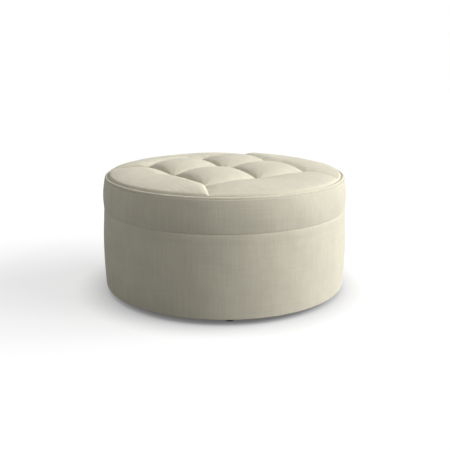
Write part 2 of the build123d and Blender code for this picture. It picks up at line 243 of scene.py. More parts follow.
class OttomanStudio(bpy.types.PropertyGroup):
    """Camera, lamps and floor"""

    camera_distance: length("Distance", "From the drum's axis to the camera, level", 2.6322)
    camera_height: length("Height", "The camera's height over the floor", 0.9079)
    camera_turn: turn("Turn", "Where the camera stands round the drum", -32.4)
    camera_pitch: turn("Pitch", "How far the camera looks down", 14.49)
    focal_length: share("Focal length", "The lens in millimetres, for a frame of 36 mm", 56.88)
    frame_shift: share("Shift", "Sideways shift of the frame", 0.00096)
    key_turn: turn("Key turn", "Where the middle of the key light comes from", 58)
    key_height: turn("Key height", "How high the key light stands", 28)
    key_strength: share("Key", "Strength of the key light", 4.65)
    key_width: turn("Key width", "How wide each lamp is seen", 28)
    key_spread: turn("Key spread", "From one lamp of the key light to the next", 20)
    key_lamps: count("Key lamps", "Lamps side by side in the key light", 3)
    fill_turn: turn("Fill turn", "Where the weak light on the shaded side comes from", -143)
    fill_height: turn("Fill height", "How high that light stands", 20)
    fill_strength: share("Fill", "Strength of that light", 0.25)
    sky_strength: share("Sky", "Strength of the light from all round", 0.35)
    floor_colour: share("Floor", "How bright the floor's own surface is", 0.36)
    floor_lift: share("Floor lift", "Light added to the open floor for the camera", 0.565)
    floor_least: share("Least lift", "Light added to all the floor for the camera", 0.085)
    floor_reach: length("Floor shade", "How far the shade under the object reaches", 0.13)
    floor_bounce: share("Bounce", "How bright the floor is for light that it sends back", 0.25)


class Nodes:
    """A node tree that grows by one node with each call."""

    def __init__(self, tree):
        self.tree = tree

    def node(self, kind, sockets=None, **settings):
        """Adds a node, sets its options, then links or sets its sockets."""
        made = self.tree.nodes.new(kind)
        for name, value in settings.items():
            setattr(made, name, value)
        for name, value in (sockets or {}).items():
            if isinstance(value, bpy.types.NodeSocket):
                self.tree.links.new(value, made.inputs[name])
            else:
                made.inputs[name].default_value = value
        return made

    def out(self, kind, sockets=None, output=0, **settings):
        """Adds a node and gives one of its outputs."""
        return self.node(kind, sockets, **settings).outputs[output]

    def math(self, operation, *values):
        """One step of arithmetic."""
        return self.out("ShaderNodeMath", dict(enumerate(values)), operation=operation)

    plus = partialmethod(math, "ADD")
    less = partialmethod(math, "SUBTRACT")
    times = partialmethod(math, "MULTIPLY")
    over = partialmethod(math, "DIVIDE")
    sine = partialmethod(math, "SINE")
    cosine = partialmethod(math, "COSINE")

    def place(self, x, y, z=0.0):
        """A vector from its three parts."""
        return self.out("ShaderNodeCombineXYZ", {0: x, 1: y, 2: z})

    def round_axis(self, reach, cosine, sine, height=0.0):
        """The place at this reach from the drum's axis."""
        return self.place(self.times(reach, cosine), self.times(reach, sine), height)

    def parts(self, vector):
        """The three parts of a vector."""
        return self.node("ShaderNodeSeparateXYZ", {0: vector}).outputs

    def noise(self, where, scale, detail=2.0):
        """Soft noise from 0 to 1."""
        return self.out("ShaderNodeTexNoise", {"Vector": where, "Scale": scale, "Detail": detail})

    def ease(self, value, low, high, to_low=0.0, to_high=1.0):
        """Carries a value from one range to another, and stops at its ends."""
        return self.out("ShaderNodeMapRange", {0: value, 1: low, 2: high, 3: to_low, 4: to_high})

    def blend(self, factor, first, second, **settings):
        """Mixes two colours."""
        sockets = {0: factor, 6: first, 7: second}
        return self.out("ShaderNodeMix", sockets, output=2, data_type="RGBA", **settings)


def new_group(name, kind, inputs, outputs):
    """An empty node group; an input is named with its default, or its type if it has none."""
    tree = bpy.data.node_groups.new(name, kind)
    for label, default in inputs.items():
        socket = SOCKETS.get(type(default), default)
        made = tree.interface.new_socket(label, in_out="INPUT", socket_type="NodeSocket" + socket)
        if default != socket:
            made.default_value = default
    for label, socket in outputs.items():
        tree.interface.new_socket(label, in_out="OUTPUT", socket_type="NodeSocket" + socket)
    nodes = Nodes(tree)
    return nodes, nodes.node("NodeGroupInput").outputs, nodes.node("NodeGroupOutput").inputs


def linked(nodes, result, **values):
    """Links a group's outputs and gives its tree."""
    for name, value in values.items():
        nodes.tree.links.new(value, result[name])
    return nodes.tree


def linen_group():
    """Plain weave with slubs and soft patches, from a place on the cloth in metres."""
    nodes, given, result = new_group(
        "woven linen",
        "ShaderNodeTree",
        {
            "Place": "Vector",
            "Thread": 0.0012,
            "Warp": (0.6, 0.6, 0.5, 1),
            "Weft": (0.6, 0.6, 0.5, 1),
            "Streaks": 0.2,
            "Mottle": 0.1,
        },
        {"Color": "Color", "Height": "Float", "Roughness": "Float"},
    )
    place = given["Place"]
    parts = nodes.parts(place)
    across, along = parts[0], parts[1]
    # the threads: warp and weft come up by turns
    half_turns = nodes.over(pi, given["Thread"])
    waves = [nodes.sine(nodes.times(way, half_turns)) for way in (across, along)]
    weave = nodes.times(*waves)
    over = nodes.ease(weave, -1.0, 1.0)
    thread_colour = nodes.blend(over, given["Weft"], given["Warp"])
    # slubs: thick threads, fine ones and broad ones, both ways
    slubs = []
    for fine_across, fine_along, seed, strength in SLUBS:
        where = nodes.place(nodes.times(across, fine_across), nodes.times(along, fine_along), seed)
        slubs.append(nodes.ease(nodes.noise(where, 1.0), 0.3, 0.7, -strength, strength))
    streaks = nodes.plus(nodes.plus(*slubs[:2]), nodes.plus(*slubs[2:]))
    patches = nodes.ease(nodes.noise(place, 11.0, 3.0), 0.3, 0.7, -1.0, 1.0)
    light = nodes.plus(
        nodes.math("MULTIPLY_ADD", streaks, nodes.times(given["Streaks"], 0.5), 1.0),
        nodes.times(patches, nodes.times(given["Mottle"], 0.5)),
    )
    tint = nodes.out("ShaderNodeCombineColor", {0: light, 1: light, 2: light})
    fluff = nodes.noise(place, 2600.0)
    height = nodes.plus(
        nodes.math("SQRT", nodes.math("ABSOLUTE", weave)),
        nodes.math("MULTIPLY_ADD", streaks, 0.7, nodes.times(fluff, 0.5)),
    )
    return linked(
        nodes,
        result,
        Color=nodes.blend(1.0, thread_colour, tint, blend_type="MULTIPLY"),
        Height=height,
        Roughness=nodes.ease(over, 0.0, 1.0, 0.82, 0.95),
    )


def grain_group():
    """Streaks of a raw material, with speckles, from a place that is already stretched."""
    nodes, given, result = new_group(
        "raw grain",
        "ShaderNodeTree",
        {
            "Place": "Vector",
            "Light": (0.8, 0.7, 0.5, 1),
            "Dark": (0.6, 0.5, 0.3, 1),
            "Streak scale": 40.0,
            "Speckle scale": 900.0,
        },
        {"Color": "Color", "Height": "Float", "Mask": "Float"},
    )
    streaks = nodes.noise(given["Place"], given["Streak scale"], 5.0)
    speckles = nodes.noise(given["Place"], given["Speckle scale"])
    mask = nodes.plus(
        nodes.ease(streaks, 0.3, 0.7, 0.0, 0.75), nodes.ease(speckles, 0.35, 0.65, 0.0, 0.25)
    )
    return linked(
        nodes,
        result,
        Color=nodes.blend(mask, given["Light"], given["Dark"]),
        Height=nodes.math("MULTIPLY_ADD", speckles, 0.4, streaks),
        Mask=mask,
    )


def shared_group(name, maker):
    """The group of this name, made the first time that it is asked for."""
    return bpy.data.node_groups.get(name) or maker()


def new_material(name, constants):
    """A material with one Principled shader; its constants go straight on the sockets."""
    made = bpy.data.materials.new(name)
    made.use_nodes = True
    surface = made.node_tree.nodes["Principled BSDF"]
    for socket, value in constants.items():
        surface.inputs[socket].default_value = value
    return made, Nodes(made.node_tree), surface


def finish_surface(nodes, surface, seen, height, distance, rough=None, strength=1.0):
    """Links a colour, a bump and a roughness to the shader."""
    bump = {"Height": height, "Distance": distance, "Strength": strength}
    links = nodes.tree.links
    links.new(seen, surface.inputs["Base Color"])
    links.new(nodes.out("ShaderNodeBump", bump), surface.inputs["Normal"])
    if rough:
        links.new(rough, surface.inputs["Roughness"])


def linen_material(name, sizes, weave_turn=0.0):
    """The oatmeal cloth, woven along the piece's own UV map."""
    sheen = {"Sheen Weight": 0.12, "Sheen Roughness": 0.5, "Specular IOR Level": 0.2}
    made, nodes, surface = new_material(name, sheen)
    flat = nodes.out("ShaderNodeUVMap", uv_map="cloth")
    flat = nodes.out("ShaderNodeMapping", {"Vector": flat, "Rotation": (0, 0, weave_turn)})
    woven = {"Place": flat, "Thread": sizes.thread, "Warp": sizes.warp, "Weft": sizes.weft}
    woven.update({"Streaks": sizes.streak, "Mottle": sizes.mottle})
    group = shared_group("woven linen", linen_group)
    cloth = nodes.node("ShaderNodeGroup", woven, node_tree=group).outputs
    finish_surface(nodes, surface, cloth["Color"], cloth["Height"], 0.0004, cloth["Roughness"], 0.6)
    return made


def raw_material(name, light, dark, stretch, streaks, speckles, bump, rough, metal, plies):
    """A raw inner material with its grain on Object coordinates."""
    made, nodes, surface = new_material(name, {"Roughness": rough, "Metallic": metal})
    light, dark = (*light, 1), (*dark, 1)
    place = nodes.out("ShaderNodeTexCoord", output="Object")
    stretched = nodes.out("ShaderNodeVectorMath", {0: place, 1: stretch}, operation="MULTIPLY")
    grown = {"Place": stretched, "Light": light, "Dark": dark}
    grown.update({"Streak scale": streaks, "Speckle scale": speckles})
    group = shared_group("raw grain", grain_group)
    grain = nodes.node("ShaderNodeGroup", grown, node_tree=group).outputs
    seen = grain["Color"]
    if plies:
        # dark plies between the light ones, on the upright edges only
        layers = nodes.sine(nodes.times(nodes.parts(place)[2], 2 * pi / PLY_PAIR))
        upright = nodes.parts(nodes.out("ShaderNodeNewGeometry", output="Normal"))[2]
        edge = nodes.ease(nodes.math("ABSOLUTE", upright), 0.3, 0.7, 1.0, 0.0)
        dark_ply = nodes.times(nodes.ease(layers, -0.2, 0.2, 0.0, 0.6), edge)
        seen = nodes.blend(dark_ply, seen, dark)
    finish_surface(nodes, surface, seen, grain["Height"], bump)
    return made


def twist_material(name, light, dark, pitch, turns_round):
    """Laid cord or twine: slanting strands, round the drum or up the twine, with painted shade in
    the grooves between them.
    """
    light, dark = (*light, 1), (*dark, 1)
    made, nodes, surface = new_material(name, {"Roughness": 0.8, "Sheen Weight": 0.1})
    parts = nodes.parts(nodes.out("ShaderNodeTexCoord", output="Object"))
    angle = nodes.math("ARCTAN2", parts[1], parts[0])
    slant = nodes.math("MULTIPLY_ADD", angle, turns_round, nodes.times(parts[2], 2 * pi / pitch))
    strands = nodes.sine(slant)
    # painted shade: the strands' crests take the light colour and the grooves between them the dark
    # one
    seen = nodes.blend(nodes.ease(strands, -1.0, 1.0), dark, light)
    finish_surface(nodes, surface, seen, strands, 0.0003)
    return made


# Raw finishes: light, dark, stretch, streak scale, speckle scale, bump, roughness
RAW_FINISHES = {
    "plywood": ((0.74, 0.58, 0.38), (0.58, 0.42, 0.25), (1, 14, 14), 9, 260, 0.0003, 0.7),
    "softwood": ((0.82, 0.67, 0.45), (0.66, 0.47, 0.27), (16, 16, 1), 8, 240, 0.0003, 0.65),
    "fibreboard": ((0.44, 0.31, 0.19), (0.33, 0.22, 0.13), (1, 1, 1), 70, 1100, 0.0002, 0.75),
    "wadding": ((0.94, 0.94, 0.92), (0.8, 0.8, 0.78), (1, 1, 3), 60, 1300, 0.0008, 0.95),
    "foam": ((0.91, 0.87, 0.71), (0.8, 0.75, 0.58), (1, 1, 1), 40, 1000, 0.0006, 0.95),
    "dust_cloth": ((0.045,) * 3, (0.018,) * 3, (1, 1, 1), 90, 2100, 0.0003, 0.95),
    "fixing_steel": ((0.72, 0.72, 0.7), (0.52, 0.52, 0.54), (1, 1, 1), 130, 1500, 0.00004, 0.36),
    "glide_nylon": ((0.065,) * 3, (0.035,) * 3, (1, 1, 1), 90, 1200, 0.00008, 0.5),
}
METAL, PLIED = "fixing_steel", "plywood"
# Twisted finishes: light for the strands' crests, dark for the painted shade in their grooves,
# pitch of the strands, strands in one turn round the drum
TWIST_FINISHES = {
    "piping_cord": ((0.9, 0.88, 0.82), (0.7, 0.67, 0.6), 0.0072, 360),
    "twine": ((0.66, 0.62, 0.5), (0.46, 0.42, 0.33), 0.0016, 1),
}


def inner_material(slot):
    """The procedural finish of one of the record's inner material slots."""
    name = slot.replace("_", " ") + " finish"
    made = bpy.data.materials.get(name)
    if made:
        return made
    if slot in TWIST_FINISHES:
        return twist_material(name, *TWIST_FINISHES[slot])
    return raw_material(name, *RAW_FINISHES[slot], float(slot == METAL), slot == PLIED)


def added(name, data):
    """Puts a new object with this data in the scene."""
    made = bpy.data.objects.new(name, data)
    bpy.context.scene.collection.objects.link(made)
    return made


def finish_piece(name, mesh, material, slot, *replaced):
    """Puts a finished mesh in the scene as a piece of the object."""
    piece = added(name, mesh)
    mesh.materials.clear()
    mesh.materials.append(material)
    mesh.polygons.foreach_set("use_smooth", [True] * len(mesh.polygons))
    mesh.update()
    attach(piece, "root")
    if replaced:
        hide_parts(*replaced)
    return piece


def evaluated_mesh(piece):
    """A plain mesh of the object as its modifiers leave it."""
    bpy.context.view_layer.update()
    seen = piece.evaluated_get(bpy.context.evaluated_depsgraph_get())
    return bpy.data.meshes.new_from_object(seen)


def subdivided(piece):
    """One subdivision of a piece, as a plain mesh."""
    smooth = piece.modifiers.new("smooth", "SUBSURF")
    smooth.levels = smooth.render_levels = 1
    found = evaluated_mesh(piece)
    piece.modifiers.remove(smooth)
    return found


def grown_mesh(name, tree, values, start=None):
    """Runs a Geometry Nodes tree with these named inputs and keeps its closed mesh."""
    holder = added(name, start or bpy.data.meshes.new(name))
    modifier = holder.modifiers.new("grow", "NODES")
    modifier.node_group = tree
    for item in tree.interface.items_tree:
        if item.in_out == "INPUT" and item.name in values:
            modifier[item.identifier] = values[item.name]
    found = evaluated_mesh(holder)
    holder.modifiers.remove(modifier)
    bpy.data.objects.remove(holder)
    found.name = name
    return found


@contextmanager
def opened(mesh, result=None):
    """Opens a mesh for editing, then writes it back or into another mesh."""
    shell = bmesh.new()
    shell.from_mesh(mesh)
    yield shell
    shell.to_mesh(result or mesh)
    shell.free()


def turned_out(mesh):
    """Turns a closed mesh's faces outwards."""
    with opened(mesh) as shell:
        if shell.calc_volume(signed=True) < 0:
            bmesh.ops.reverse_faces(shell, faces=shell.faces)
    return mesh


def store_values(mesh, label, values):
    """Keeps a number for each point of a mesh."""
    store = mesh.attributes.new(label, "FLOAT", "POINT")
    store.data.foreach_set("value", values.astype(np.float32))


def places_of(mesh):
    """The points of a mesh as rows of x, y and z."""
    flat = np.empty(len(mesh.vertices) * 3)
    mesh.vertices.foreach_get("co", flat)
    return flat.reshape(-1, 3)


def clustered(steps, evenness):
    """Places from -1 to 1 that crowd towards both ends."""
    even = np.linspace(-1, 1, steps + 1)
    return evenness * even + (1 - evenness) * np.sin(even * pi / 2)


def two_panels(steps):
    """Places from -1 to 1 across two panels side by side, crowded at the panels' edges."""
    run = clustered(steps, PANEL_EVENNESS)
    return np.concatenate([(run - 1) / 2, (run[1:] + 1) / 2])


def fullness(reach, shape):
    """How full a panel is: 1 at its crest, falling ever steeper to 0 at its edge."""
    power, root = shape
    return np.clip(1 - np.abs(reach) ** power, 0, None) ** (1 / root)


def crease_floor(place, crown):
    """Height of a crease over the tufts' feet; the tufts are where place is -1 or 1."""
    return crown.crease_rise * (1 - np.abs(place) ** CREASE_POWER)


def tuft_folds(x, y, crown):
    """Small folds that run out of each tuft, as heights."""
    total = np.zeros_like(x)
    for row in (-1, 0, 1):
        for column in (-1, 0, 1):
            away_x, away_y = x - column * tuft_pitch, y - row * tuft_pitch
            reach = np.hypot(away_x, away_y) / crown.fold_reach
            phase = column * FOLD_PHASES[0] + row * FOLD_PHASES[1]
            turned = np.arctan2(away_y, away_x) * crown.fold_count + phase
            total += crown.fold_depth * np.cos(turned) * reach * np.exp(1 - reach)
    return total


def pillow_patch(crown):
    """The four pillows between the nine tufts."""
    line = two_panels(crown.pillow_divisions)
    grid_x, grid_y = np.meshgrid(line, line)
    local_x, local_y = 2 * np.abs(grid_x) - 1, 2 * np.abs(grid_y) - 1
    crest = crown.pillow_rise - crown.crease_rise
    full = fullness(local_x, PILLOW_FULL) * fullness(local_y, PILLOW_FULL)
    height = crease_floor(local_x * local_y, crown) + crest * full
    bow_x = crown.scallop * (1 - local_y**2) * np.sign(grid_x) * np.clip(local_x, 0, 1) ** 2
    bow_y = crown.scallop * (1 - local_x**2) * np.sign(grid_y) * np.clip(local_y, 0, 1) ** 2
    x, y = grid_x * tuft_pitch + bow_x, grid_y * tuft_pitch + bow_y
    off_crease = np.maximum(np.abs(local_x), np.abs(local_y)) < 1
    z = tuft_z + height + tuft_folds(x, y, crown) * off_crease
    held = np.abs(np.abs(local_x) - 1) < ON_EDGE
    held |= np.abs(np.abs(local_y) - 1) < ON_EDGE
    return np.stack([x, y, z], -1), held


def petal_patch(crown, quarter):
    """One petal between the outer tufts and the rim, in its own quarter."""
    rows = (clustered(crown.petal_rows, ROW_EVENNESS) + 1) / 2
    along, across = np.meshgrid(two_panels(crown.pillow_divisions), rows)
    local = 2 * np.abs(along) - 1
    inner_x = tuft_pitch + crown.scallop * (1 - local**2)
    inner_y = along * tuft_pitch
    pleat_skew = radians(PLEAT_SKEW[(quarter + 1) % 4]) * np.clip(along, 0, 1) ** 2
    pleat_skew = pleat_skew + radians(PLEAT_SKEW[quarter]) * np.clip(-along, 0, 1) ** 2
    bearing = along * pi / 4 + pleat_skew
    outer_x, outer_y = rim_radius * np.cos(bearing), rim_radius * np.sin(bearing)
    x = inner_x + (outer_x - inner_x) * across
    y = inner_y + (outer_y - inner_y) * across
    # the floor that the petal is drawn down to, along its crease and its two pleats
    rim_floor = welt_z - tuft_z + RIM_FLOOR
    floor = crease_floor(local, crown) * (1 - across) ** 2 + rim_floor * across**RIM_POWER
    crest_at = crown.petal_crest
    inside = fullness((crest_at - across) / crest_at, PETAL_INSIDE)
    outside = fullness((across - crest_at) / (1 - crest_at), PETAL_OUTSIDE)
    over = np.where(across < crest_at, inside, outside)
    # how far each point is from the pleats at the petal's two ends
    span = np.hypot(x, y) * (pi / 4)
    to_steep_end = np.clip((1 - along) * span / crown.steep_end, 0, 1)
    to_gentle_end = np.clip((along + 1) * span / crown.gentle_end, 0, 1)
    ends = fullness(1 - to_steep_end, STEEP_FULL) * fullness(1 - to_gentle_end, GENTLE_FULL)
    crest = crown.petal_rise - rim_floor * crest_at**RIM_POWER
    z = tuft_z + floor + crest * over * ends
    loose = (across > 0) * (np.abs(along) < 1) * np.clip(1 - across, 0, 1)
    z = z + tuft_folds(x, y, crown) * loose
    from_rim = (1 - across) * np.hypot(outer_x - inner_x, outer_y - inner_y)
    z = z - crown.edge_roll * np.clip(1 - from_rim / crown.roll_reach, 0, None) ** 2
    held = (across < ON_EDGE) | (across > 1 - ON_EDGE) | (np.abs(along) > 1 - ON_EDGE)
    turned = quarter * pi / 2
    turned_x = x * cos(turned) - y * sin(turned)
    return np.stack([turned_x, x * sin(turned) + y * cos(turned), z], -1), held


def crown_mesh(crown):
    """The open tufted surface, as a mesh with its cloth UV and its held points."""
    points, faces, holds = [], [], []
    for places, held in (pillow_patch(crown), *(petal_patch(crown, turns) for turns in range(4))):
        index = sum(map(len, points)) + np.arange(held.size).reshape(held.shape)
        corners = (index[:-1, :-1], index[1:, :-1], index[1:, 1:], index[:-1, 1:])
        faces.extend(np.stack(corners, -1).reshape(-1, 4).tolist())
        points.append(places.reshape(-1, 3))
        holds.append(held.reshape(-1))
    points = np.concatenate(points)
    mesh = bpy.data.meshes.new("tufted_top")
    mesh.from_pydata(points.tolist(), [], faces)
    layer = mesh.uv_layers.new(name="cloth")
    corner = np.empty(len(mesh.loops), dtype=np.int32)
    mesh.loops.foreach_get("vertex_index", corner)
    layer.data.foreach_set("uv", points[corner, :2].astype(np.float32).ravel())
    store_values(mesh, "held", np.concatenate(holds))
    with opened(mesh) as shell:
        bmesh.ops.remove_doubles(shell, verts=shell.verts, dist=MERGE)
        bmesh.ops.recalc_face_normals(shell, faces=shell.faces)
        if sum(face.normal.z for face in shell.faces) < 0:
            bmesh.ops.reverse_faces(shell, faces=shell.faces)
    return mesh


def close_crown(mesh):
    """Turns the cover's edge down behind the welt and closes it over the foam."""
    low = foam_top_z + SKIRT_GAP
    with opened(mesh) as shell:
        cloth = shell.loops.layers.uv["cloth"]
        edge = [side for side in shell.edges if side.is_boundary]
        for step in range(len(SKIRT_FALLS) + len(SKIRT_RINGS)):
            grown = bmesh.ops.extrude_edge_only(shell, edges=edge)["geom"]
            points = [item for item in grown if isinstance(item, bmesh.types.BMVert)]
            sides = [item for item in grown if isinstance(item, bmesh.types.BMEdge)]
            edge = [side for side in sides if side.is_boundary]
            for point in points:
                if step < len(SKIRT_FALLS):
                    point.co.z = low + (point.co.z - low) * SKIRT_FALLS[step]
                else:
                    reach = rim_radius * SKIRT_RINGS[step - len(SKIRT_FALLS)]
                    out = Vector((point.co.x, point.co.y)).normalized() * reach
                    point.co = (out.x, out.y, low)
        bmesh.ops.contextual_create(shell, geom=edge)
        bmesh.ops.recalc_face_normals(shell, faces=shell.faces)
        for face in shell.faces:
            for corner in face.loops:
                spot, uv = corner.vert.co, corner[cloth].uv
                if spot.z < low + SKIRT_GAP and uv.length > rim_radius * WEAVE_RIM:
                    out = Vector((spot.x, spot.y)).normalized() * (rim_radius + RIM_FLOOR)
                    corner[cloth].uv = out
    return turned_out(mesh)


def settle_cloth(piece, crown):
    """Lets the fill swell the cover between its held creases, and keeps the settled shape."""
    mesh = piece.data
    start = places_of(mesh)
    held = np.empty(len(start), dtype=np.float32)
    mesh.attributes["held"].data.foreach_get("value", held)
    group = piece.vertex_groups.new(name="held")
    for index in np.nonzero(held > 0)[0].tolist():
        group.add([index], 1.0, "REPLACE")
    cloth = piece.modifiers.new("swell", "CLOTH")
    for name, value in CLOTH.items():
        setattr(cloth.settings, name, value)
    cloth.settings.uniform_pressure_force = crown.pressure
    cloth.settings.shrink_min = -crown.slack
    cloth.settings.effector_weights.gravity = 0
    cloth.collision_settings.use_collision = False
    cloth.point_cache.frame_start = 1
    cloth.point_cache.frame_end = crown.last_frame
    scene = bpy.context.scene
    for step in range(1, crown.last_frame + 1):
        scene.frame_set(step)
    move = places_of(piece.evaluated_get(bpy.context.evaluated_depsgraph_get()).data) - start
    piece.modifiers.remove(cloth)
    scene.frame_set(1)
    far = np.linalg.norm(move, axis=1, keepdims=True)
    move *= np.minimum(1, crown.most_move / np.maximum(far, 1e-9))
    # the piping holds the cover down, so the swelling dies away towards it
    from_rim = rim_radius - np.hypot(start[:, 0], start[:, 1])
    move *= np.clip(from_rim / crown.calm_rim, 0, 1)[:, None] ** CALM_POWER
    mesh.vertices.foreach_set("co", (start + move).ravel())
    mesh.update()


def rounded(corner, radius, start, end, steps=8, rise=None):
    """Points of a rounding about a centre, from one bearing to another; rise makes an ellipse."""
    return [
        (corner[0] + radius * cos(angle), corner[1] + (rise or radius) * sin(angle))
        for angle in np.linspace(radians(start), radians(end), steps + 1)
    ]


def base_profile(wrap, inset, steps=56):
    """The base cover's line, this much inside its face, from its hem to its top fold."""
    low, high = base_bottom_z + inset, waist_z - inset
    edge = band_radius - inset
    foot, shoulder = wrap.foot_round - inset, max(wrap.shoulder_round - inset, LEAST_ROUND)
    hem = band_radius - wrap.turn_in
    bulge = base_widest - band_radius
    fall = wrap.shoulder_fall - inset
    wall_low, wall_high = low + foot, high - fall
    half = (wall_high - wall_low) / 2
    arc = (half**2 + bulge**2) / (2 * bulge)
    wall = []
    for step in range(1, steps):
        up = wall_low + (wall_high - wall_low) * step / steps
        wall.append((edge + bulge - arc + sqrt(arc**2 - (up - wall_low - half) ** 2), up))
    return (
        [(hem, low), ((hem + edge) / 2, low)]
        + rounded((edge - foot, wall_low), foot, -90, 0)
        + wall
        + rounded((edge - shoulder, wall_high), shoulder, 0, 90, 12, fall)
        + [((hem + edge) / 2, high), (hem, high)]
    )


def band_profile(wrap, inset, steps=30):
    """The boxing band's line, this much inside its face, from its turn-in to under the welt."""
    low, edge_low = waist_z + inset, band_radius - wrap.waist_inset - inset
    waist = max(wrap.waist_round - inset, LEAST_ROUND)
    hem = band_radius - wrap.turn_in
    # under the welt the cloth turns in and follows the piping, its lining underneath
    seat = welt_radius + wrap.welt_plump + WELT_CLEARANCE
    reach = seat + inset
    start = acos((seat * cos(TUCK_START) - inset) / reach)
    tuck = [
        (welt_line_radius + reach * cos(angle), welt_z - reach * sin(angle))
        for angle in np.linspace(start, TUCK_END, 7)
    ]
    first, last = Vector((edge_low, low + waist)), Vector(tuck[0])
    middle = Vector((band_radius - inset, (first.y + last.y) / 2))
    centre, arc = circle_through(first, middle, last)
    wall = []
    for step in range(1, steps + 1):
        up = first.y + (last.y - first.y) * step / steps
        if up < last.y - TUCK_GAP:
            wall.append((centre.x + sqrt(arc**2 - (up - centre.y) ** 2), up))
    return (
        [(hem, low), ((hem + edge_low) / 2, low)]
        + rounded((edge_low - waist, low + waist), waist, -90, 0)
        + wall
        + tuck
    )


def circle_through(first, middle, last):
    """Centre and radius of the circle through three points."""
    ax, ay, bx, by, cx, cy = *first, *middle, *last
    twice = 2 * (ax * (by - cy) + bx * (cy - ay) + cx * (ay - by))
    a, b, c = first.length_squared, middle.length_squared, last.length_squared
    x = (a * (by - cy) + b * (cy - ay) + c * (ay - by)) / twice
    y = (a * (cx - bx) + b * (ax - cx) + c * (bx - ax)) / twice
    centre = Vector((x, y))
    return centre, (centre - first).length


def run_lengths(line):
    """How far along a line each of its points lies."""
    steps = [sqrt((a[0] - b[0]) ** 2 + (a[1] - b[1]) ** 2) for a, b in zip(line, line[1:])]
    return np.concatenate([[0], np.cumsum(steps)])


def profile_mesh(name, outer, inner):
    """A closed line of cloth, out along its face and back, with its run and its give."""
    line = outer + inner[::-1]
    mesh = bpy.data.meshes.new(name)
    mesh.from_pydata([(r, 0, z) for r, z in line], [], [])
    low, high = min(z for r, z in outer), max(z for r, z in outer)
    give = [max(0, min(1, (z - low) / GIVE_REACH, (high - z) / GIVE_REACH)) for r, z in line]
    store_values(mesh, "run", run_lengths(line))
    store_values(mesh, "give", np.array(give))
    return mesh


def ring_grid(nodes, sections, rows):
    """A grid to wrap round the drum, with the row of each point and how far round it stands."""
    vertices = {"Vertices X": nodes.plus(sections, 1.0), "Vertices Y": rows}
    grid = nodes.out("GeometryNodeMeshGrid", vertices)
    index = nodes.out("GeometryNodeInputIndex")
    column = nodes.math("FLOOR", nodes.over(nodes.plus(index, 0.5), rows))
    row = nodes.less(index, nodes.times(column, rows))
    return grid, row, nodes.times(nodes.over(column, sections), 2 * pi)


def dressed(nodes, result, geometry, material):
    """Ends a Geometry Nodes tree: real geometry with its material."""
    real = nodes.out("GeometryNodeRealizeInstances", {"Geometry": geometry})
    worn = nodes.out("GeometryNodeSetMaterial", {"Geometry": real, "Material": material})
    return linked(nodes, result, Geometry=worn)


def ring_shell(nodes, result, grid, flat, where, material):
    """Wraps the grid, keeps its flat places as the cloth's UV map, and closes it."""
    keep = nodes.node("GeometryNodeCaptureAttribute", {"Geometry": grid})
    for label, value in (("flat", flat), ("where", where)):
        keep.capture_items.new("VECTOR", label)
        nodes.tree.links.new(value, keep.inputs[label])
    kept = keep.outputs
    cloth = {"Geometry": kept["Geometry"], "Name": "cloth", "Value": kept["flat"]}
    layer = {"data_type": "FLOAT2", "domain": "CORNER"}
    mapped = nodes.out("GeometryNodeStoreNamedAttribute", cloth, **layer)
    moved = {"Geometry": mapped, "Position": kept["where"]}
    placed = nodes.out("GeometryNodeSetPosition", moved)
    joined = nodes.out("GeometryNodeMergeByDistance", {"Geometry": placed, "Distance": MERGE})
    return dressed(nodes, result, joined, material)


def wrap_tree():
    """Wraps a profile round the drum's axis as stretched cloth, with a sewn join at the back."""
    nodes, given, result = new_group(
        "wrapped cloth",
        "GeometryNodeTree",
        {
            "Profile": "Geometry",
            "Sections": 288,
            "Seam place": 0.8,
            "Seam groove": 0.001,
            "Seam width": 0.004,
            "Ripple": 0.001,
            "Seed": 3.0,
            "Radius": 0.45,
            "Cloth": "Material",
        },
        {"Geometry": "Geometry"},
    )
    profile = given["Profile"]
    size = nodes.out("GeometryNodeAttributeDomainSize", {0: profile}, component="MESH")
    grid, row, turned = ring_grid(nodes, given["Sections"], nodes.plus(size, 1.0))
    looped = nodes.math("FLOORED_MODULO", row, size)

    def sampled(value, kind="FLOAT"):
        sockets = {0: profile, 1: value, 2: looped}
        return nodes.out("GeometryNodeSampleIndex", sockets, data_type=kind, domain="POINT")

    def stored(label):
        named = nodes.out("GeometryNodeInputNamedAttribute", {0: label}, data_type="FLOAT")
        return sampled(named)

    spot = nodes.parts(sampled(nodes.out("GeometryNodeInputPosition"), "FLOAT_VECTOR"))
    angle = nodes.plus(turned, given["Seam place"])
    cosine, sine = nodes.cosine(angle), nodes.sine(angle)
    # soft unevenness, the same on the face and on the lining
    around = nodes.round_axis(RIPPLE_ROUND, cosine, sine, nodes.times(spot[2], RIPPLE_UP))
    wave = {"Vector": around, "W": given["Seed"], "Scale": RIPPLE_SCALE, "Detail": 2.0}
    waves = nodes.less(nodes.out("ShaderNodeTexNoise", wave, noise_dimensions="4D"), 0.5)
    uneven = nodes.times(nodes.times(waves, RIPPLE_GAIN), given["Ripple"])
    # the join: a groove in the cloth
    from_seam = nodes.math("MINIMUM", turned, nodes.less(2 * pi, turned))
    near = nodes.over(nodes.times(from_seam, given["Radius"]), given["Seam width"])
    fading = nodes.math("EXPONENT", nodes.times(nodes.times(near, near), -1.0))
    groove = nodes.times(fading, given["Seam groove"])
    reach = nodes.plus(spot[0], nodes.times(stored("give"), nodes.less(uneven, groove)))
    flat = nodes.place(nodes.times(turned, given["Radius"]), stored("run"))
    where = nodes.round_axis(reach, cosine, sine, spot[2])
    return ring_shell(nodes, result, grid, flat, where, given["Cloth"])


